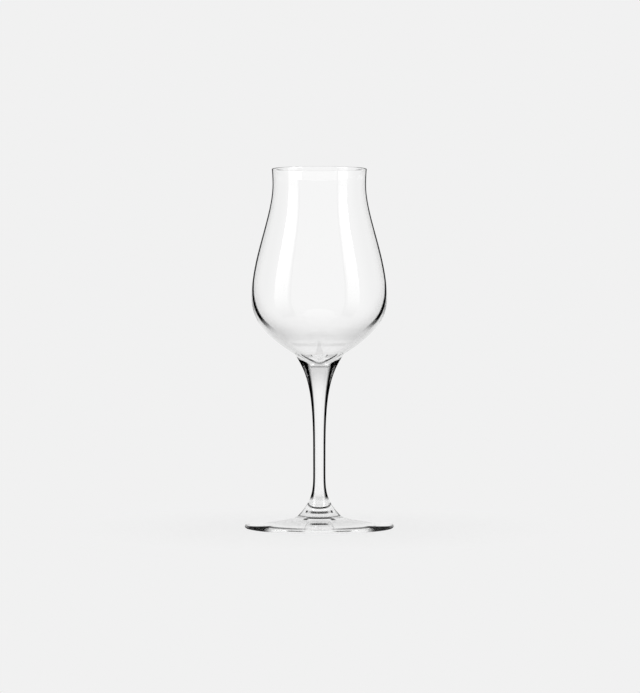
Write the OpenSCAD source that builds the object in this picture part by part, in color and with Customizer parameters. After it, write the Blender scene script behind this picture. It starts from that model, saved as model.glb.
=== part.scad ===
// Whisky nosing glass: a blown tulip bowl, a drawn stem and a pressed foot, fused while hot.
// Millimetres, +Z up. The glass stands on z = 0 and its axis of turning is the Z axis.
// Every outline is half a cross-section, with the radius first and the height second.

/* [Bowl] */
// Outer diameter across the mouth
mouth_d = 46.3; // [44:0.5:52]
// Outer diameter of the neck, the narrowest place under the lip
neck_d = 45.7; // [40:0.5:50]
// Outer diameter of the belly, the widest place
belly_d = 66.2; // [58:0.5:78]
// Height of the lip, from the neck up to the mouth
lip_h = 7.9; // [5:0.5:14]
// Height of the shoulder, from the belly up to the neck
shoulder_h = 55.1; // [44:1:66]
// Height of the rounded base, from where it meets the stem up to the belly
base_h = 27.4; // [22:1:36]
// Slope of the bowl's wall where it meets the stem, in degrees above level
base_slope = 32; // [20:1:38]
// Thickness of the wall at the lip and the neck
lip_wall = 1.0; // [0.8:0.1:1.6]
// Thickness of the wall at the belly
belly_wall = 1.3; // [1.0:0.1:2.0]
// Thickness of the glass under the drink, at the middle of the bowl
floor_wall = 2.4; // [1.8:0.1:4.0]

/* [Stem] */
// Diameter of the flared top, the cup that holds the bowl
cup_d = 24; // [18:0.5:28]
// Height of the cup's edge above the table
cup_z = 84.6; // [70:1:100]
// How far the bowl's rounded bottom dips into the cup
cup_dip = 5.7; // [5:0.5:7]
// Slope of the flare just under the cup's edge, in degrees above level
flare_slope = 55; // [48:1:70]
// Diameter of the stem where it is thinnest
waist_d = 6; // [5:0.1:9]
// Height of that thinnest place above the table
waist_z = 36.5; // [28:1:44]
// Diameter of the stem's lower end, where it is fused to the foot
root_d = 11; // [10:0.5:14]
// Height of the edge of that joint above the table
root_z = 12.2; // [10:0.5:16]
// How far the rounded lower end of the stem sinks into the foot
root_dip = 1.9; // [1.0:0.1:2.6]

/* [Foot] */
// Diameter of the foot
foot_d = 72.8; // [60:1:84]
// Thickness of the foot at its edge
edge_t = 1.6; // [1.2:0.1:2.4]
// Diameter of the raised cone where it runs out into the disc
cone_d = 20.8; // [18:0.5:26]
// Height of the cone's lower edge above the table
cone_z = 5.8; // [5:0.1:7]
// Slope of the cone, in degrees above level
cone_slope = 42; // [36:1:50]
// Width of the flat ring that the foot rests on
ring_w = 2.6; // [1.5:0.1:5]
// Depth of the shallow hollow under the foot
hollow_h = 1.0; // [0.4:0.1:1.6]

/* [Hidden] */
// Straight facets in each curve of an outline, in a small round, and around the axis
curve_steps = 18;
round_steps = 8;
turn_steps = 96;

// How far each end of a curve keeps its first direction, as a share of the curve's height
lip_shares = [0.33, 0.45];
shoulder_shares = [0.276, 0.364];
base_shares = [0.5, 0.38];
flare_shares = [0.266, 0.549];
waist_shares = [0.62, 0.27];
cone_shares = [0.35, 0.35];
// The same for the inside of the rounded base, the second as a share of its radius
well_shares = [0.53, 0.1];
// The bowl's bottom inside the cup, both as shares of the cup's radius
dip_shares = [0.3, 0.4];
// The foot's top: across and down to its first handle, then across and up to its second
top_first_shares = [0.11, 0.49];
top_second_shares = [0.49, 0.19];
// The hollow under the foot, as shares of its radius
hollow_shares = [0.66, 0.33];

mouth_r = mouth_d / 2;
neck_r = neck_d / 2;
belly_r = belly_d / 2;
cup_r = cup_d / 2;
waist_r = waist_d / 2;
root_r = root_d / 2;
cone_r = cone_d / 2;
foot_r = foot_d / 2;

// Heights of the bowl's stations above the table
belly_z = cup_z + base_h;
neck_z = belly_z + shoulder_h;
glass_h = neck_z + lip_h;
bowl_bottom_z = cup_z - cup_dip;
well_z = bowl_bottom_z + floor_wall;

// Radii of the inside of the bowl
mouth_in_r = mouth_r - lip_wall;
neck_in_r = neck_r - lip_wall;
belly_in_r = belly_r - belly_wall;

// The lip is rounded over half its wall, and the foot's edge over half its thickness
lip_round = lip_wall / 2;
lip_z = glass_h - lip_round;
edge_round = edge_t / 2;
edge_r = foot_r - edge_round;
ring_in_r = edge_r - ring_w;

// The stem's lower end is part of a ball of this radius
root_ball_r = (root_r * root_r + root_dip * root_dip) / (2 * root_dip);
root_angle = asin(root_r / root_ball_r);
root_bottom_z = root_z - root_dip;

// The cone is one even bend, as much steeper than its chord at the top as it is flatter below
cone_chord_slope = atan((root_z - cone_z) / (cone_r - root_r));
root_slope = 2 * cone_chord_slope - cone_slope;

glass_tint = [0.9, 0.94, 0.96, 0.4];

// Points on a cubic curve from a to d, with handles b and c, without its last point
function curve(a, b, c, d) =
    [for (i = [0 : curve_steps - 1])
        let (t = i / curve_steps, u = 1 - t)
            a * u * u * u + b * 3 * u * u * t + c * 3 * u * t * t + d * t * t * t];

// A point at a distance from another, in a direction given in degrees above level
function from_point(p, distance, angle) =
    p + distance * [cos(angle), sin(angle)];

// The lip, from the mouth down to the neck
function lip_curve(top_r, bottom_r) =
    let (h = lip_z - neck_z)
        curve([top_r, lip_z],
              [(top_r + bottom_r) / 2, lip_z - lip_shares[0] * h],
              [bottom_r, neck_z + lip_shares[1] * h],
              [bottom_r, neck_z]);

// The shoulder, from the neck down to the belly
function shoulder_curve(top_r, bottom_r) =
    curve([top_r, neck_z],
          [top_r, neck_z - shoulder_shares[0] * shoulder_h],
          [bottom_r, belly_z + shoulder_shares[1] * shoulder_h],
          [bottom_r, belly_z]);

// The outside of the rounded base, from the belly down to the cup's edge
function base_curve() =
    curve([belly_r, belly_z],
          [belly_r, belly_z - base_shares[0] * base_h],
          from_point([cup_r, cup_z], base_shares[1] * base_h, base_slope),
          [cup_r, cup_z]);

// The face where the bowl's bottom is fused into the cup, from its edge to the axis
function cup_curve() =
    let (reach = dip_shares[0] * cup_r)
        curve([cup_r, cup_z],
              [cup_r - reach, cup_z - reach * tan(base_slope)],
              [dip_shares[1] * cup_r, bowl_bottom_z],
              [0, bowl_bottom_z]);

// The inside of the rounded base, from the belly down to the middle of the floor
function well_curve() =
    curve([belly_in_r, belly_z],
          [belly_in_r, belly_z - well_shares[0] * (belly_z - well_z)],
          [well_shares[1] * belly_in_r, well_z],
          [0, well_z]);

// The flare of the stem, from the cup's edge down to the waist
function flare_curve() =
    let (h = cup_z - waist_z)
        curve([cup_r, cup_z],
              from_point([cup_r, cup_z], -flare_shares[0] * h, flare_slope),
              [waist_r, waist_z + flare_shares[1] * h],
              [waist_r, waist_z]);

// The lower stem, from the waist down to the joint with the foot
function lower_stem_curve() =
    let (h = waist_z - root_z)
        curve([waist_r, waist_z],
              [waist_r, waist_z - waist_shares[0] * h],
              from_point([root_r, root_z], waist_shares[1] * h, 180 - root_slope),
              [root_r, root_z]);

// The face where the stem is fused into the foot, from its edge to the axis
function root_curve() =
    [for (i = [0 : round_steps - 1])
        let (angle = root_angle * (1 - i / round_steps))
            [root_ball_r * sin(angle), root_bottom_z + root_ball_r * (1 - cos(angle))]];

// The cone, from the joint with the stem down to the disc
function cone_curve() =
    let (h = root_z - cone_z)
        curve([root_r, root_z],
              from_point([root_r, root_z], cone_shares[0] * h, -root_slope),
              from_point([cone_r, cone_z], cone_shares[1] * h, 180 - cone_slope),
              [cone_r, cone_z]);

// The top of the disc, from the cone out to the rounded edge
function top_curve() =
    let (across = edge_r - cone_r, down = cone_z - edge_t)
        curve([cone_r, cone_z],
              [cone_r + top_first_shares[0] * across, cone_z - top_first_shares[1] * down],
              [cone_r + top_second_shares[0] * across, edge_t + top_second_shares[1] * down],
              [edge_r, edge_t]);

// The hollow under the foot, from the resting ring in to the axis
function hollow_curve() =
    curve([ring_in_r, 0],
          [hollow_shares[0] * ring_in_r, hollow_h],
          [hollow_shares[1] * ring_in_r, hollow_h],
          [0, hollow_h]);

// Half a round of a wall or an edge, between two angles in degrees
function half_round(centre, r, start, end) =
    [for (i = [0 : round_steps])
        from_point(centre, r, start + (end - start) * i / round_steps)];

function backwards(points) =
    [for (i = [len(points) - 1 : -1 : 0]) points[i]];

// The blown bowl, open at the mouth and closed by its rounded bottom
module bowl() {
    color(glass_tint)
        rotate_extrude($fn = turn_steps)
            polygon(concat(
                [for (p = lip_curve(mouth_r, neck_r)) if (p[1] < lip_z) p],
                shoulder_curve(neck_r, belly_r),
                base_curve(),
                cup_curve(),
                [[0, bowl_bottom_z], [0, well_z]],
                backwards(concat(
                    [for (p = lip_curve(mouth_in_r, neck_in_r)) if (p[1] < lip_z) p],
                    shoulder_curve(neck_in_r, belly_in_r),
                    well_curve())),
                half_round([mouth_r - lip_round, lip_z], lip_round, 180, 0)));
}

// The drawn stem, with its flared cup on top and its rounded end in the foot
module stem() {
    color(glass_tint)
        rotate_extrude($fn = turn_steps)
            polygon(concat(
                flare_curve(),
                lower_stem_curve(),
                root_curve(),
                [[0, root_bottom_z], [0, bowl_bottom_z]],
                [for (p = backwards(cup_curve())) if (p[0] < cup_r) p]));
}

// The pressed foot, a thin disc with a raised cone and a shallow hollow beneath
module foot() {
    color(glass_tint)
        rotate_extrude($fn = turn_steps)
            polygon(concat(
                cone_curve(),
                top_curve(),
                half_round([edge_r, edge_round], edge_round, 90, -90),
                hollow_curve(),
                [[0, hollow_h], [0, root_bottom_z]],
                [for (p = backwards(root_curve())) if (p[0] < root_r) p]));
}

bowl();
stem();
foot();
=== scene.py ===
import math

import bpy
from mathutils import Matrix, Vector


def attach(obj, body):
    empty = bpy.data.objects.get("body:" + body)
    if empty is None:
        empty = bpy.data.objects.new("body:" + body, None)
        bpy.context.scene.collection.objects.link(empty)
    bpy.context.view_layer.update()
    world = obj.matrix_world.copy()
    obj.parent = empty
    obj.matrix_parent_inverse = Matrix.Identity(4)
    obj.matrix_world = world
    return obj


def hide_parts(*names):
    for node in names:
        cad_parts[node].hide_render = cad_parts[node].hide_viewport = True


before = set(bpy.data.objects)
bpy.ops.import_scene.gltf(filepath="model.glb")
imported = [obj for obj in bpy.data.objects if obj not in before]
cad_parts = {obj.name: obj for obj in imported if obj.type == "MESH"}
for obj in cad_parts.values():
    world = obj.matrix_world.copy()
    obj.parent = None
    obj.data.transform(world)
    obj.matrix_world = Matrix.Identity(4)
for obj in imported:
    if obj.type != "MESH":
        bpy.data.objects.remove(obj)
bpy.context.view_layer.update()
bpy.ops.object.select_all(action="DESELECT")

# The camera.
# A long lens on a tripod, level with the belly of the bowl and tipped down by a degree, so that the
# mouth is seen a little from below and the foot a little from above.
PHOTO_W_PX, PHOTO_H_PX = 640, 693
FOCAL_PX = 2698
HORIZON_Y_PX = 300
GLASS_X_PX = 319.3
SENSOR_MM = 36
CAMERA_BACK = 1.315
CAMERA_UP = 0.111
camera_across = (PHOTO_W_PX / 2 - GLASS_X_PX) * CAMERA_BACK / FOCAL_PX
tip_down = math.atan((PHOTO_H_PX / 2 - HORIZON_Y_PX) / FOCAL_PX)
bpy.ops.object.camera_add(
    location=(camera_across, -CAMERA_BACK, CAMERA_UP),
    rotation=(math.pi / 2 - tip_down, 0, 0),
)
camera = bpy.context.object
camera.name = "camera"
camera.data.sensor_width = SENSOR_MM
camera.data.lens = FOCAL_PX / PHOTO_H_PX * SENSOR_MM
scene = bpy.context.scene
scene.camera = camera
scene.view_settings.view_transform = "Standard"

# Light goes to and fro many times inside solid glass before it comes out again.
scene.cycles.max_bounces = 40
scene.cycles.glossy_bounces = 32
scene.cycles.transmission_bounces = 32
scene.cycles.transparent_max_bounces = 32


# The studio.
# A pale grey sweep under an even light. The camera, mirrors and glass see it as one flat tone, only a
# little darker overhead, and mirrors see a broad soft light in front of the glass as well.
ROOM_LIGHT, OVERHEAD = 0.98, 0.8
FRONT_LIGHT, FRONT_BEGINS, FRONT_FULL = 1.1, 0.3, -0.4
FLOOR_R, SHADOW_R, FLAT_R = 6, 0.04, 0.13


def linear(hex_colour):
    """The linear colour of an sRGB hex value."""
    parts = [int(hex_colour[i : i + 2], 16) / 255 for i in (1, 3, 5)]
    return tuple(c / 12.92 if c <= 0.04045 else ((c + 0.055) / 1.055) ** 2.4 for c in parts) + (1,)


def add_node(tree, kind, feeds=(), stops=(), **settings):
    """A new node. Feeds give its inputs another node's output or a number, settings are its own
    properties or inputs, and stops are the places and greys of a colour ramp."""
    node = tree.nodes.new(kind)
    for name, value in settings.items():
        if hasattr(node, name):
            setattr(node, name, value)
        else:
            node.inputs[name.replace("_", " ")].default_value = value
    for name, feed in dict(feeds).items():
        if isinstance(feed, bpy.types.NodeSocket):
            tree.links.new(feed, node.inputs[name])
        else:
            node.inputs[name].default_value = feed
    for number, (place, grey) in enumerate(stops):
        elements = node.color_ramp.elements
        element = elements[number] if number < 2 else elements.new(place)
        element.position = place
        element.color = (grey, grey, grey, 1)
    return node


def new_material(name):
    """An empty material and its node tree."""
    material = bpy.data.materials.new(name)
    material.use_nodes = True
    material.node_tree.nodes.clear()
    return material, material.node_tree


BACKDROP = linear("#F1F1F1")
world = bpy.data.worlds.new("studio")
scene.world = world
world.use_nodes = True
tree = world.node_tree
tree.nodes.clear()
path = add_node(tree, "ShaderNodeLightPath")
glossy, through = path.outputs["Is Glossy Ray"], path.outputs["Is Transmission Ray"]
in_glass = add_node(tree, "ShaderNodeMath", {0: glossy, 1: through}, operation="MAXIMUM")
seen = add_node(
    tree, "ShaderNodeMath", {0: in_glass.outputs[0], 1: path.outputs["Is Camera Ray"]},
    operation="MAXIMUM",
)
way = add_node(tree, "ShaderNodeTexCoord")
axes = add_node(tree, "ShaderNodeSeparateXYZ", {0: way.outputs["Generated"]})
overhead = add_node(
    tree, "ShaderNodeValToRGB", {0: axes.outputs["Z"]}, stops=[(0.5, 1.0), (1.0, OVERHEAD)]
)
# The light in front begins a little behind the glass and is full well forward of it. Only mirrors see
# it, and a ray that goes through glass counts as glossy too, so those rays are taken off.
front = add_node(
    tree, "ShaderNodeMapRange", {"Value": axes.outputs["Y"]}, interpolation_type="SMOOTHSTEP",
    From_Min=FRONT_BEGINS, From_Max=FRONT_FULL, To_Min=0.0, To_Max=FRONT_LIGHT,
)
in_mirror = add_node(
    tree, "ShaderNodeMath", {0: glossy, 1: through}, operation="SUBTRACT", use_clamp=True
)
strength = add_node(
    tree, "ShaderNodeMath",
    {0: front.outputs[0], 1: in_mirror.outputs[0], 2: overhead.outputs["Color"]},
    operation="MULTIPLY_ADD",
)
room = add_node(tree, "ShaderNodeBackground", Color=(1, 1, 1, 1), Strength=ROOM_LIGHT)
sweep = add_node(tree, "ShaderNodeBackground", {"Strength": strength.outputs[0]}, Color=BACKDROP)
both = add_node(
    tree, "ShaderNodeMixShader", {0: seen.outputs[0], 1: room.outputs[0], 2: sweep.outputs[0]}
)
add_node(tree, "ShaderNodeOutputWorld", {0: both.outputs[0]})

# The floor is matt near the foot, where it keeps the glass's faint shadow, and further out it is seen
# as the same flat tone as the sweep. Mirrors don't see it, but see the lower ends of the softboxes
# past it.
bpy.ops.mesh.primitive_circle_add(vertices=96, radius=FLOOR_R, fill_type="NGON", location=(0, 0, 0))
floor = bpy.context.object
floor.name = "floor"
paint, tree = new_material("matt pale grey sweep")
place = add_node(tree, "ShaderNodeTexCoord")
away = add_node(tree, "ShaderNodeVectorMath", {0: place.outputs["Object"]}, operation="LENGTH")
far = add_node(
    tree, "ShaderNodeMapRange", {"Value": away.outputs["Value"]}, interpolation_type="SMOOTHSTEP",
    From_Min=SHADOW_R, From_Max=FLAT_R,
)
matt = add_node(tree, "ShaderNodeBsdfDiffuse", Color=BACKDROP)
flat = add_node(tree, "ShaderNodeEmission", Color=BACKDROP, Strength=1)
path = add_node(tree, "ShaderNodeLightPath")
unseen = add_node(
    tree, "ShaderNodeMath", {0: path.outputs["Is Diffuse Ray"], 1: path.outputs["Is Shadow Ray"]},
    operation="MAXIMUM",
)
shown = add_node(
    tree, "ShaderNodeMath", {0: far.outputs[0], 1: unseen.outputs[0]}, operation="SUBTRACT",
    use_clamp=True,
)
mix = add_node(
    tree, "ShaderNodeMixShader", {0: shown.outputs[0], 1: matt.outputs[0], 2: flat.outputs[0]}
)
add_node(tree, "ShaderNodeOutputMaterial", {0: mix.outputs[0]})
floor.data.materials.append(paint)
floor.visible_glossy = False


# The two softboxes.
# Tall boxes of diffuser cloth hang at both sides in front of the glass and reach below its table. The
# two bright strips on the bowl mirror them. Each fades to the tone of the room inwards and downwards.
BOX_AWAY, BOX_H, BOX_BELOW = 0.8, 2.0, 0.6
CLOTH_GLOW = 6.3
# The light fades below FADE_UP from the lower end, and beyond FULL_ACROSS of the width inwards.
FADE_UP, FULL_ACROSS = 1.75, 0.2


def softbox(name, azimuth, wide, inner):
    """A softbox that faces the glass from an azimuth in degrees right of the camera. Inner is 1 or
    -1, the way along its own width to the side that fades."""
    turn = math.radians(azimuth)
    bpy.ops.mesh.primitive_plane_add(size=1, location=(0, 0, 0))
    box = bpy.context.object
    box.name = name
    bpy.ops.transform.resize(value=(wide, BOX_H, 1))
    bpy.ops.object.transform_apply(location=False, rotation=False, scale=True)
    box.rotation_euler = (math.pi / 2, 0, turn)
    box.location = (BOX_AWAY * math.sin(turn), -BOX_AWAY * math.cos(turn), BOX_H / 2 - BOX_BELOW)
    cloth, tree = new_material(name + " diffuser cloth")
    place = add_node(tree, "ShaderNodeTexCoord")
    axes = add_node(tree, "ShaderNodeSeparateXYZ", {0: place.outputs["Object"]})
    across = add_node(
        tree, "ShaderNodeMapRange", {"Value": axes.outputs["X"]}, interpolation_type="SMOOTHSTEP",
        From_Min=inner * wide / 2, From_Max=inner * wide * FULL_ACROSS,
    )
    up = add_node(
        tree, "ShaderNodeMapRange", {"Value": axes.outputs["Y"]}, interpolation_type="SMOOTHSTEP",
        From_Min=-BOX_H / 2, From_Max=-BOX_H / 2 + FADE_UP,
    )
    full = add_node(
        tree, "ShaderNodeMath", {0: across.outputs[0], 1: up.outputs[0]}, operation="MULTIPLY"
    )
    level = add_node(
        tree, "ShaderNodeMapRange", {"Value": full.outputs[0]}, To_Min=1.0, To_Max=CLOTH_GLOW
    )
    glow = add_node(tree, "ShaderNodeEmission", {"Strength": level.outputs[0]}, Color=(1, 1, 1, 1))
    add_node(tree, "ShaderNodeOutputMaterial", {0: glow.outputs[0]})
    box.data.materials.append(cloth)
    box.visible_camera = False
    box.visible_transmission = False
    box.visible_shadow = False
    box.visible_diffuse = False


softbox("left_softbox", azimuth=-64, wide=0.47, inner=1)
softbox("right_softbox", azimuth=57, wide=0.40, inner=-1)


# The bowl.
# Blown from a gather of clear crystal and opened at the top, then fire-polished: a slightly flared
# lip, a narrow neck, a full belly, and a base that is thicker and rounded, fused into the stem.
MM = 0.001
STEPS_AROUND = 192
MOUTH_R, NECK_R, BELLY_R = 23.15, 22.85, 33.1
LIP_H, SHOULDER_H, BASE_H, BASE_SLOPE = 7.9, 55.1, 27.4, 32
LIP_WALL, BELLY_WALL, FLOOR_WALL = 1.0, 1.3, 2.4
CUP_R, CUP_Z, CUP_DIP = 12.0, 84.6, 5.7
BELLY_Z = CUP_Z + BASE_H
NECK_Z = BELLY_Z + SHOULDER_H
GLASS_H = NECK_Z + LIP_H
BOTTOM_Z = CUP_Z - CUP_DIP
WELL_Z = BOTTOM_Z + FLOOR_WALL
# How far each end of a curve keeps its first direction, as shares of its height or its reach.
LIP_BEND, SHOULDER_BEND, BASE_BEND = (0.33, 0.45), (0.276, 0.364), (0.5, 0.38)
WELL_BEND, CUP_BEND = (0.53, 0.1), (0.3, 0.4)
# Colour ramps take a height as a share of RAMP_H. A painted dark line is full up to LINE_FULL of its
# thickness from its middle and gone at LINE_GONE, and the edge of painted black is soft for SOFT_EDGE
# to either side.
RAMP_H, SOFT_EDGE = 180, 0.2
LINE_FULL, LINE_GONE = 0.2, 0.8
WAVE_DEPTH = 0.06
# The near-black painted in as shade at the edges of the glass and along its joints.
PAINTED_BLACK = linear("#050505")


def at(radius, height):
    """A point of an outline, in millimetres from the axis and above the table."""
    return Vector((radius, 0, height))


def step(distance, slope):
    """A step of so many millimetres, at a slope in degrees above level."""
    return at(distance * math.cos(math.radians(slope)), distance * math.sin(math.radians(slope)))


def curve(a, b, c, d, steps):
    """Points on a cubic curve from a to d, with handles b and c, without its last point."""
    points = []
    for i in range(steps):
        t = i / steps
        u = 1 - t
        points.append(a * u**3 + b * 3 * u * u * t + c * 3 * u * t * t + d * t**3)
    return points


def half_round(centre, radius, start, steps):
    """Points half a turn clockwise round a centre, from an angle in degrees."""
    return [centre + step(radius, start - 180 * i / steps) for i in range(steps + 1)]


def turned(name, outline):
    """A solid of revolution. Half its cross-section is drawn point by point and spun about the axis."""
    bpy.ops.mesh.primitive_plane_add(size=MM, location=outline[0] * MM)
    piece = bpy.context.object
    piece.name = piece.data.name = name
    bpy.ops.object.transform_apply(location=True, rotation=True, scale=True)
    bpy.ops.object.mode_set(mode="EDIT")
    bpy.ops.mesh.select_all(action="SELECT")
    bpy.ops.mesh.merge(type="CENTER")
    for here, there in zip(outline, outline[1:]):
        bpy.ops.mesh.extrude_region_move(TRANSFORM_OT_translate={"value": (there - here) * MM})
    bpy.ops.mesh.select_all(action="SELECT")
    bpy.ops.mesh.spin(steps=STEPS_AROUND, angle=2 * math.pi, center=(0, 0, 0), axis=(0, 0, 1))
    bpy.ops.mesh.select_all(action="SELECT")
    bpy.ops.mesh.remove_doubles(threshold=0.001 * MM)
    bpy.ops.mesh.normals_make_consistent(inside=False)
    bpy.ops.object.mode_set(mode="OBJECT")
    bpy.ops.object.shade_smooth_by_angle(angle=math.radians(25))
    return piece


def finish_faces(piece, material, where):
    """Gives a material to the faces of a piece that are at a place: radius and height in millimetres,
    and how far the face looks outwards and upwards."""
    piece.data.materials.append(material)
    slot = len(piece.data.materials) - 1
    for face in piece.data.polygons:
        x, y, z = face.center / MM
        radius = math.hypot(x, y)
        outward = (face.normal.x * x + face.normal.y * y) / radius
        if where(radius, z, outward, face.normal.z):
            face.material_index = slot


def faint_waves(tree, place, waves):
    """The faint waves that hand work leaves in glass, by their lengths along the three axes in
    millimetres. They are too low to be seen but in how they bend light."""
    lengths = add_node(
        tree, "ShaderNodeMapping", {"Vector": place}, Scale=[1 / (wave * MM) for wave in waves]
    )
    noise = add_node(tree, "ShaderNodeTexNoise", {"Vector": lengths.outputs[0]}, Scale=1.0, Detail=1.0)
    bump = add_node(
        tree, "ShaderNodeBump", {"Height": noise.outputs[0]}, Strength=0.3, Distance=WAVE_DEPTH * MM
    )
    return bump.outputs[0]


def let_light_by(tree, surface):
    """Finishes a glass: shadow and diffuse rays go straight through, as it hardly shades its table."""
    path = add_node(tree, "ShaderNodeLightPath")
    straight = add_node(
        tree, "ShaderNodeMath", {0: path.outputs["Is Shadow Ray"], 1: path.outputs["Is Diffuse Ray"]},
        operation="MAXIMUM",
    )
    clear = add_node(tree, "ShaderNodeBsdfTransparent", Color=linear("#FBFBFB"))
    mix = add_node(
        tree, "ShaderNodeMixShader", {0: straight.outputs[0], 1: surface, 2: clear.outputs[0]}
    )
    add_node(tree, "ShaderNodeOutputMaterial", {0: mix.outputs[0]})


def crystal(
    name, edge=(), grey=(), grey_by_height=(), black=(), black_by_height=(), black_under=(),
    glint=(), glint_by_height=(), lines=(), seen=(), upright=False, inward_from=None,
    gloss=0.5, waves=(17, 17, 25),
):
    """Clear crystal, which bends light and has no colour of its own. Where the eye looks along it,
    grey and then black are painted in as shade, which stands in for the dark beyond the lamps bent into
    it. The lists give shares by the slant to the eye, 0 square on and 1 edge on, or by the height in
    millimetres.
    edge: the slant of the painted dark edge at each height. Grey and black then have that edge at 0.5.
    black_under: at each slant, the height above which no black is painted.
    glint: how much of the painted black a painted highlight takes away.
    lines: each painted dark line's height at each slant, thickness in millimetres and strength at each
    slant.
    seen: how much of the black and the lines is left at each slant of the surface itself.
    upright: all other slants are those of an upright wall in its place.
    inward_from, with upright: a radius in millimetres. Heights are then distances in from it.
    gloss: how strongly the surface mirrors. waves: the lengths of its faint waves in millimetres."""
    glass, tree = new_material(name)
    facing = add_node(tree, "ShaderNodeLayerWeight", Blend=0.5)
    own_slant = wall_slant = facing.outputs["Facing"]
    place = add_node(tree, "ShaderNodeTexCoord").outputs["Object"]
    axes = add_node(tree, "ShaderNodeSeparateXYZ", {0: place})
    distance = axes.outputs["Z"]
    if upright:
        level = add_node(tree, "ShaderNodeCombineXYZ", {0: axes.outputs["X"], 1: axes.outputs["Y"]})
        out = add_node(tree, "ShaderNodeVectorMath", {0: level.outputs[0]}, operation="NORMALIZE")
        wall = add_node(tree, "ShaderNodeLayerWeight", {"Normal": out.outputs[0]}, Blend=0.5)
        wall_slant = wall.outputs["Facing"]
    if inward_from:
        radius = add_node(tree, "ShaderNodeVectorMath", {0: level.outputs[0]}, operation="LENGTH")
        distance = add_node(
            tree, "ShaderNodeMath", {0: inward_from * MM, 1: radius.outputs["Value"]},
            operation="SUBTRACT",
        ).outputs[0]
    height = add_node(
        tree, "ShaderNodeMath", {0: distance, 1: RAMP_H * MM}, operation="DIVIDE"
    ).outputs[0]
    slant = wall_slant
    if edge:
        stops = [(z / RAMP_H, edge_slant) for z, edge_slant in edge]
        painted_edge = add_node(tree, "ShaderNodeValToRGB", {0: height}, stops=stops)
        past = add_node(
            tree, "ShaderNodeMath", {0: wall_slant, 1: painted_edge.outputs["Color"]},
            operation="SUBTRACT",
        )
        slant = add_node(
            tree, "ShaderNodeMath", {0: past.outputs[0], 1: 0.5}, operation="ADD"
        ).outputs[0]

    def product(by_slant, by_height):
        """What the shares by slant and by height come to together."""
        first = add_node(tree, "ShaderNodeValToRGB", {0: slant}, stops=by_slant or [(0, 1), (1, 1)])
        stops = [(z / RAMP_H, share) for z, share in by_height] or [(0, 1), (1, 1)]
        second = add_node(tree, "ShaderNodeValToRGB", {0: height}, stops=stops)
        return add_node(
            tree, "ShaderNodeMath", {0: first.outputs["Color"], 1: second.outputs["Color"]},
            operation="MULTIPLY",
        ).outputs[0]

    def height_above(heights):
        """How far the surface is above a height that depends on the slant."""
        stops = [(at_slant, z / RAMP_H) for at_slant, z in heights]
        line = add_node(tree, "ShaderNodeValToRGB", {0: wall_slant}, stops=stops)
        return add_node(
            tree, "ShaderNodeMath", {0: height, 1: line.outputs["Color"]}, operation="SUBTRACT"
        ).outputs[0]

    def painted_dark_line(heights, thickness, strengths):
        """How dark the surface is with a painted dark line, painted shade that fades to both sides."""
        off = add_node(tree, "ShaderNodeMath", {0: height_above(heights)}, operation="ABSOLUTE")
        across = add_node(
            tree, "ShaderNodeMapRange", {"Value": off.outputs[0]}, interpolation_type="SMOOTHSTEP",
            From_Min=LINE_FULL * thickness / RAMP_H, From_Max=LINE_GONE * thickness / RAMP_H,
            To_Min=1.0, To_Max=0.0,
        )
        along = add_node(tree, "ShaderNodeValToRGB", {0: wall_slant}, stops=strengths)
        return add_node(
            tree, "ShaderNodeMath", {0: across.outputs[0], 1: along.outputs["Color"]},
            operation="MULTIPLY",
        ).outputs[0]

    body = add_node(
        tree, "ShaderNodeBsdfPrincipled", {"Normal": faint_waves(tree, place, waves)},
        Base_Color=(1, 1, 1, 1), Roughness=0.0, IOR=1.52, Transmission_Weight=1.0,
        Specular_IOR_Level=gloss,
    )
    # Painted shade: the base colour is greyed by slant and by height.
    if grey or grey_by_height:
        tree.links.new(product(grey, grey_by_height), body.inputs["Base Color"])
    surface = body.outputs[0]
    # Painted shade: a near-black matt surface is mixed in for the black and the dark lines, from
    # outside only.
    if black or lines:
        painted_shade = product(black or [(0, 0), (1, 0)], black_by_height)
        # The glint is a painted highlight: it takes some of the painted black away again.
        if glint:
            painted_shade = add_node(
                tree, "ShaderNodeMath", {0: painted_shade, 1: product(glint, glint_by_height)},
                operation="SUBTRACT", use_clamp=True,
            ).outputs[0]
        if black_under:
            under = add_node(
                tree, "ShaderNodeMapRange", {"Value": height_above(black_under)},
                From_Min=-SOFT_EDGE / RAMP_H, From_Max=SOFT_EDGE / RAMP_H, To_Min=1.0, To_Max=0.0,
            )
            painted_shade = add_node(
                tree, "ShaderNodeMath", {0: painted_shade, 1: under.outputs[0]}, operation="MULTIPLY"
            ).outputs[0]
        for line in lines:
            painted_shade = add_node(
                tree, "ShaderNodeMath", {0: painted_shade, 1: painted_dark_line(*line)}, operation="MAXIMUM"
            ).outputs[0]
        if seen:
            left = add_node(tree, "ShaderNodeValToRGB", {0: own_slant}, stops=seen)
            painted_shade = add_node(
                tree, "ShaderNodeMath", {0: painted_shade, 1: left.outputs["Color"]}, operation="MULTIPLY"
            ).outputs[0]
        side = add_node(tree, "ShaderNodeNewGeometry")
        from_outside = add_node(
            tree, "ShaderNodeMix", {"Factor": side.outputs["Backfacing"], "A": painted_shade}, B=0.0
        )
        dark = add_node(tree, "ShaderNodeBsdfDiffuse", Color=PAINTED_BLACK)
        surface = add_node(
            tree, "ShaderNodeMixShader", {0: from_outside.outputs[0], 1: surface, 2: dark.outputs[0]}
        ).outputs[0]
    let_light_by(tree, surface)
    return glass


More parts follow.
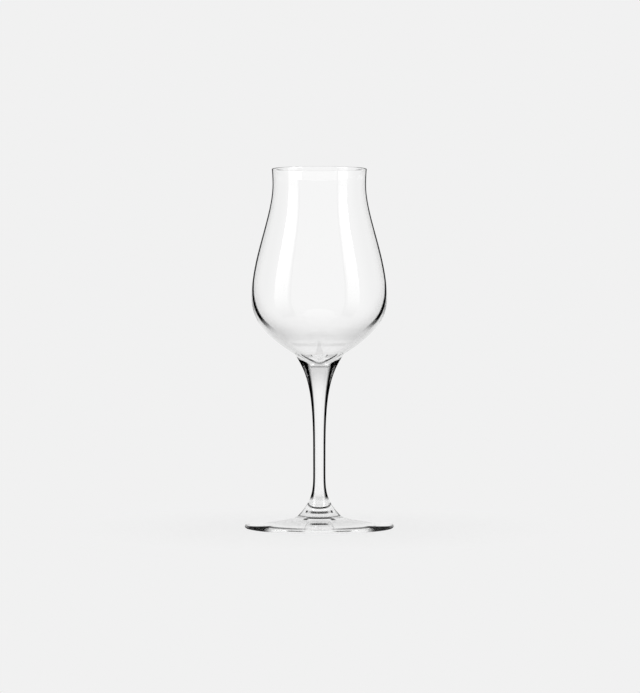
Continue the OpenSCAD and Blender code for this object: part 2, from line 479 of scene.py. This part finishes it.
def seam_with_painted_line(name, begins, ends, strength):
    """A joint where two gathers ran together. Light goes straight through it, and it shows only as a
    dark line painted in as shade where the eye looks along it."""
    joint, tree = new_material(name)
    facing = add_node(tree, "ShaderNodeLayerWeight", Blend=0.5)
    line = add_node(
        tree, "ShaderNodeMapRange", {"Value": facing.outputs["Facing"]},
        interpolation_type="SMOOTHSTEP", From_Min=begins, From_Max=ends, To_Min=0.0, To_Max=strength,
    )
    through = add_node(tree, "ShaderNodeBsdfTransparent", Color=(1, 1, 1, 1))
    # The near-black painted in as shade along the joint.
    dark = add_node(tree, "ShaderNodeBsdfDiffuse", Color=PAINTED_BLACK)
    mix = add_node(
        tree, "ShaderNodeMixShader", {0: line.outputs[0], 1: through.outputs[0], 2: dark.outputs[0]}
    )
    add_node(tree, "ShaderNodeOutputMaterial", {0: mix.outputs[0]})
    return joint


def lip_curve(mouth, neck):
    """The side of the lip, from its round down to the neck."""
    top = GLASS_H - lip_round
    high = top - NECK_Z
    return curve(
        at(mouth, top), at((mouth + neck) / 2, top - LIP_BEND[0] * high),
        at(neck, NECK_Z + LIP_BEND[1] * high), at(neck, NECK_Z), steps=14,
    )


def shoulder_curve(neck, belly):
    """The shoulder, from the neck down to the belly."""
    return curve(
        at(neck, NECK_Z), at(neck, NECK_Z - SHOULDER_BEND[0] * SHOULDER_H),
        at(belly, BELLY_Z + SHOULDER_BEND[1] * SHOULDER_H), at(belly, BELLY_Z), steps=48,
    )


lip_round = LIP_WALL / 2
cup_reach = CUP_BEND[0] * CUP_R
cup = curve(
    at(CUP_R, CUP_Z), at(CUP_R - cup_reach, CUP_Z - cup_reach * math.tan(math.radians(BASE_SLOPE))),
    at(CUP_BEND[1] * CUP_R, BOTTOM_Z), at(0, BOTTOM_Z), steps=24,
)
base = curve(
    at(BELLY_R, BELLY_Z), at(BELLY_R, BELLY_Z - BASE_BEND[0] * BASE_H),
    at(CUP_R, CUP_Z) + step(BASE_BEND[1] * BASE_H, BASE_SLOPE), at(CUP_R, CUP_Z), steps=40,
)
inside_r = BELLY_R - BELLY_WALL
well = curve(
    at(inside_r, BELLY_Z), at(inside_r, BELLY_Z - WELL_BEND[0] * (BELLY_Z - WELL_Z)),
    at(WELL_BEND[1] * inside_r, WELL_Z), at(0, WELL_Z), steps=48,
)
rim = half_round(at(MOUTH_R - lip_round, GLASS_H - lip_round), lip_round, start=180, steps=12)
inner = (
    lip_curve(MOUTH_R - LIP_WALL, NECK_R - LIP_WALL)[1:]
    + shoulder_curve(NECK_R - LIP_WALL, inside_r) + well + [at(0, WELL_Z)]
)
outer = (
    lip_curve(MOUTH_R, NECK_R)[1:] + shoulder_curve(NECK_R, BELLY_R) + base + cup
    + [at(0, BOTTOM_Z)]
)
bowl = turned("bowl_blown", inner[::-1] + rim + outer)

# Cooled in the air, blown crystal is as smooth as water. Outside, it mirrors each lamp as one long
# strip. A black line of painted shade runs round it, which moves in and fades below the belly, where
# the wall turns under, and the glass inside that line is painted greyer. A painted grey band and a
# faint painted dark ring cross the thick base.
outside = crystal(
    "blown crystal, outside",
    edge=[
        (86, 0.8), (89, 0.76), (91, 0.7), (93, 0.63), (96.4, 0.605), (98.8, 0.625), (101.2, 0.655),
        (103.7, 0.675), (106.1, 0.695), (108.5, 0.713), (111, 0.747), (113.5, 0.785), (116, 0.81),
        (120, 0.845),
    ],
    grey=[
        (0.14, 1.0), (0.22, 0.94), (0.29, 0.8), (0.35, 0.67), (0.4, 0.58), (0.6, 0.58), (0.68, 0.72),
        (0.76, 0.87), (0.85, 0.93),
    ],
    grey_by_height=[(91.3, 1.0), (91.9, 0.93), (95.5, 0.92), (97.5, 0.94), (100, 0.96), (104, 1.0)],
    black=[(0.41, 0.0), (0.455, 1.0), (0.54, 1.0), (0.59, 0.0)],
    black_by_height=[(95, 0.0), (97, 0.2), (99.5, 0.75), (102, 1.0)],
    lines=[([(0.0, 89.5), (1.0, 89.5)], 1.5, [(0.4, 0.07), (0.46, 0.13), (0.54, 0.13), (0.6, 0.0)])],
    gloss=0.25,
)
# The inside is as smooth. It has little gloss, so that each lamp's strip shows once and not twice.
# A narrow grey band of painted shade crosses it low in the base.
inside = crystal(
    "blown crystal, inside",
    grey_by_height=[(91.6, 1.0), (92.0, 0.95), (95, 0.95), (96, 1.0)], gloss=0.1,
)
# The lip is cut and melted round in a flame. One thin dark line of painted shade runs round the mouth.
polished_lip = crystal(
    "fire-polished crystal lip", upright=True, black=[(0.35, 0.0), (0.55, 0.45), (1.0, 0.55)],
    gloss=0.3,
)
# Nothing shows of the joint with the stem, but for a faint dark trace of painted shade where it is
# seen edge on.
bowl_seam = seam_with_painted_line("fused joint of bowl and stem", begins=0.985, ends=1.0, strength=0.3)
finish_faces(bowl, inside, lambda r, z, out, up: True)
finish_faces(bowl, outside, lambda r, z, out, up: out > 0)
finish_faces(bowl, polished_lip, lambda r, z, out, up: z > GLASS_H - lip_round)
finish_faces(bowl, bowl_seam, lambda r, z, out, up: up < 0 and r < CUP_R and z < CUP_Z)
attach(bowl, "root")
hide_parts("bowl")


# The stem.
# Drawn down from a second gather while hot. Its flared top is the cup that holds the bowl, its waist
# is 6 mm thick, and its rounded lower end sinks into the foot.
WAIST_R, WAIST_Z = 3.0, 36.5
ROOT_R, ROOT_Z, ROOT_DIP, ROOT_STEPS = 5.5, 12.2, 1.9, 12
FLARE_SLOPE = 55
FLARE_BEND, LOWER_BEND = (0.266, 0.549), (0.62, 0.27)
# The stem's lower end runs on into the foot's cone at one slope, which follows from the cone's sizes.
CONE_R, CONE_Z, CONE_SLOPE = 10.4, 5.8, 42
chord_slope = math.degrees(math.atan((ROOT_Z - CONE_Z) / (CONE_R - ROOT_R)))
root_slope = 2 * chord_slope - CONE_SLOPE
flare_h = CUP_Z - WAIST_Z
flare = curve(
    at(CUP_R, CUP_Z), at(CUP_R, CUP_Z) - step(FLARE_BEND[0] * flare_h, FLARE_SLOPE),
    at(WAIST_R, WAIST_Z + FLARE_BEND[1] * flare_h), at(WAIST_R, WAIST_Z), steps=56,
)
lower_h = WAIST_Z - ROOT_Z
lower = curve(
    at(WAIST_R, WAIST_Z), at(WAIST_R, WAIST_Z - LOWER_BEND[0] * lower_h),
    at(ROOT_R, ROOT_Z) + step(LOWER_BEND[1] * lower_h, 180 - root_slope), at(ROOT_R, ROOT_Z),
    steps=32,
)
ball_r = (ROOT_R**2 + ROOT_DIP**2) / (2 * ROOT_DIP)
ball_centre = at(0, ROOT_Z - ROOT_DIP + ball_r)
root_angle = math.degrees(math.asin(ROOT_R / ball_r))
root = [
    ball_centre + step(ball_r, root_angle * (1 - i / ROOT_STEPS) - 90) for i in range(ROOT_STEPS + 1)
]
stem = turned("stem_drawn", [at(0, BOTTOM_Z)] + cup[:0:-1] + flare + lower + root)

# Pulled lengthwise while soft, drawn crystal has long faint waves. Two broad black bands of painted
# shade stand in for the dark that the solid rod bends in from both sides, with a paler stripe at their
# outer side where less black is painted, and its clear middle is painted greyer just under the cup. A
# dark V and a dark line of painted shade stand where the cup's floor shows through the glass.
drawn = crystal(
    "drawn crystal", upright=True,
    edge=[
        (12.5, 0.189), (15, 0.261), (18, 0.278), (22, 0.277), (30, 0.275), (50, 0.273), (58, 0.269),
        (64, 0.262), (70, 0.246), (75, 0.218), (79, 0.18), (84, 0.12),
    ],
    grey=[(0.2, 1.0), (0.4, 0.9)],
    grey_by_height=[(66, 1.0), (72, 0.9), (74.5, 0.82), (77.8, 0.74), (80.5, 0.78), (82, 1.0)],
    black=[(0.44, 0.0), (0.56, 1.0)],
    black_by_height=[(13.6, 0.0), (15, 1.0)],
    black_under=[(0.0, 78.8), (0.147, 79.8), (0.346, 81.5), (0.815, 82.8), (1.0, 83.0)],
    glint=[(0.7, 0.0), (0.79, 0.25), (0.88, 0.25), (0.97, 0.0)],
    glint_by_height=[(70, 0.0), (73, 1.0), (77, 1.0), (80, 0.0)],
    lines=[
        ([(0.0, 80.3), (0.047, 81.5), (0.282, 84.2), (0.36, 85.2)], 0.9, [(0.01, 0.5), (0.05, 0.9)]),
        ([(0.0, 78.6), (1.0, 78.6)], 0.6, [(0.1, 0.5), (0.28, 0.7), (0.36, 0.0)]),
    ],
    gloss=0.2, waves=(8, 8, 40),
)
# The joint with the foot is a shallow ball, and at its edge a dark arc of painted shade crosses the
# glass.
foot_seam = seam_with_painted_line("fused joint of stem and foot", begins=0.84, ends=0.96, strength=0.75)
finish_faces(stem, drawn, lambda r, z, out, up: True)
finish_faces(stem, bowl_seam, lambda r, z, out, up: up > 0 and r < CUP_R and z > BOTTOM_Z)
finish_faces(stem, foot_seam, lambda r, z, out, up: up < 0 and r < ROOT_R and z < ROOT_Z)
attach(stem, "root")
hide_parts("stem")


# The foot.
# Pressed from a third gather: a wide thin disc with a rounded edge, a raised cone in its middle that
# holds the stem, and a shallow hollow beneath, so that it stands on a ring.
FOOT_R, EDGE_T, RING_W, HOLLOW_H = 36.4, 1.6, 2.6, 1.0
BRIM_R = 27.5
CONE_BEND, HOLLOW_BEND = (0.35, 0.35), (0.66, 0.33)
# The disc's two handles, as shares of its width and its fall: out and down, then out and up.
DISC_BEND = (0.11, 0.49), (0.49, 0.19)
edge_round = EDGE_T / 2
edge_r = FOOT_R - edge_round
cone_h = ROOT_Z - CONE_Z
cone = curve(
    at(ROOT_R, ROOT_Z), at(ROOT_R, ROOT_Z) + step(CONE_BEND[0] * cone_h, -root_slope),
    at(CONE_R, CONE_Z) + step(CONE_BEND[1] * cone_h, 180 - CONE_SLOPE), at(CONE_R, CONE_Z),
    steps=20,
)
disc_w, disc_h = edge_r - CONE_R, CONE_Z - EDGE_T
disc = curve(
    at(CONE_R, CONE_Z), at(CONE_R + DISC_BEND[0][0] * disc_w, CONE_Z - DISC_BEND[0][1] * disc_h),
    at(CONE_R + DISC_BEND[1][0] * disc_w, EDGE_T + DISC_BEND[1][1] * disc_h), at(edge_r, EDGE_T),
    steps=48,
)
edge = half_round(at(edge_r, edge_round), edge_round, start=90, steps=16)
ring_r = edge_r - RING_W
hollow = curve(
    at(ring_r, 0), at(HOLLOW_BEND[0] * ring_r, HOLLOW_H), at(HOLLOW_BEND[1] * ring_r, HOLLOW_H),
    at(0, HOLLOW_H), steps=24,
)
foot = turned("foot_pressed", root[::-1] + cone[1:] + disc + edge + hollow + [at(0, HOLLOW_H)])

# Pressed crystal takes faint round waves from the mould. Underneath it is quite clear.
PRESS_WAVES = (20, 20, 20)
pressed = crystal("pressed crystal", waves=PRESS_WAVES)
# The cone is steep. Its sides are painted grey and then black as shade, and short dark arcs of painted
# shade mark the rings where it begins and ends.
cone_glass = crystal(
    "pressed crystal, cone",
    grey=[(0.3, 1.0), (0.6, 0.92)],
    black=[(0.66, 0.0), (0.84, 0.9)],
    black_by_height=[(6, 1.0), (8, 0.8), (9.5, 0.45), (12, 0.35)],
    lines=[
        ([(0.13, 10.0), (0.3, 10.5), (0.6, 11.6), (1.0, 12.1)], 0.8, [(0.2, 1.0), (0.3, 0.8)]),
        (
            [(0.2, 7.9), (0.46, 8.25), (0.6, 8.4)], 1.1,
            [
                (0.24, 0.88), (0.27, 0.85), (0.31, 0.3), (0.38, 0.3), (0.41, 1.0), (0.46, 1.0),
                (0.5, 0.0),
            ],
        ),
        ([(0.0, 5.95), (1.0, 5.95)], 0.4, [(0.36, 0.3), (0.5, 0.8)]),
    ],
)
# The disc is thin and nearly level. A pale grey wash and three dark arcs in front of the cone are
# painted shade. The arcs are drawn only where the eye looks along the disc, and are gone when seen from
# above.
disc_glass = crystal(
    "pressed crystal, disc", upright=True, inward_from=FOOT_R, seen=[(0.925, 1.0), (0.94, 0.0)],
    grey_by_height=[(8, 1.0), (11, 0.88), (14, 0.7), (21, 0.7), (24, 0.88), (26, 1.0)],
    lines=[
        ([(0.0, 25.4), (1.0, 25.4)], 1.2, [(0.1, 1.0), (0.16, 0.8), (0.21, 0.3)]),
        ([(0.0, 24.0), (1.0, 24.0)], 1.8, [(0.09, 0.0), (0.13, 0.9), (0.19, 0.9), (0.24, 0.0)]),
        ([(0.0, 17.0), (1.0, 17.0)], 3.6, [(0.018, 0.9), (0.036, 0.0)]),
    ],
    gloss=0.25, waves=PRESS_WAVES,
)
# The brim is the outer part of the disc. At both sides of the foot it is painted black as shade, in a
# wedge that is deepest a little way in from the side, and a thin dark line of painted shade joins the
# wedges across the front.
SIDES_PAINTED_BLACK = [(0.22, 0.0), (0.33, 0.96)]
brim_glass = crystal(
    "pressed crystal, brim", upright=True, inward_from=FOOT_R,
    seen=[(0.78, 0.0), (0.84, 1.0), (0.925, 1.0), (0.94, 0.0)],
    black=SIDES_PAINTED_BLACK,
    black_under=[(0.25, 0.0), (0.428, 7.1), (0.549, 4.2), (0.66, 1.5), (0.78, 0.5)],
    lines=[
        (
            [(0.0, 4.0), (0.13, 4.2), (0.3, 4.5), (0.43, 5.6)], 4.0,
            [(0.015, 0.0), (0.04, 0.55), (0.1, 0.75), (0.3, 0.8), (0.43, 0.95), (0.5, 0.0)],
        ),
    ],
    gloss=0.25, waves=PRESS_WAVES,
)
# The edge is melted round. Its lower half goes on with the painted black of the brim out to the very
# sides, and its upper half has less painted black there again and short dashes of painted shade in the
# middle of the front.
RIM_SEEN = [(0.92, 1.0), (0.935, 0.0)]
rim_under = crystal(
    "pressed crystal, rim, lower half", upright=True, inward_from=FOOT_R, black=SIDES_PAINTED_BLACK,
    seen=RIM_SEEN, gloss=0.3,
)
rim_over = crystal(
    "pressed crystal, rim, upper half", upright=True, inward_from=FOOT_R,
    black=SIDES_PAINTED_BLACK + [(0.64, 0.96), (0.82, 0.3)],
    lines=[([(0.0, 0.1), (1.0, 0.1)], 0.25, [(0.02, 0.0), (0.035, 0.7), (0.09, 0.7), (0.11, 0.0)])],
    seen=RIM_SEEN, gloss=0.3,
)
finish_faces(foot, pressed, lambda r, z, out, up: True)
finish_faces(foot, cone_glass, lambda r, z, out, up: r < CONE_R and z > CONE_Z)
finish_faces(foot, disc_glass, lambda r, z, out, up: r > CONE_R and up > 0)
finish_faces(foot, brim_glass, lambda r, z, out, up: r > BRIM_R and up > 0)
finish_faces(foot, rim_under, lambda r, z, out, up: r > edge_r)
finish_faces(foot, rim_over, lambda r, z, out, up: r > edge_r and up > 0)
finish_faces(foot, foot_seam, lambda r, z, out, up: r < ROOT_R and up > 0)
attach(foot, "root")
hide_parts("foot")
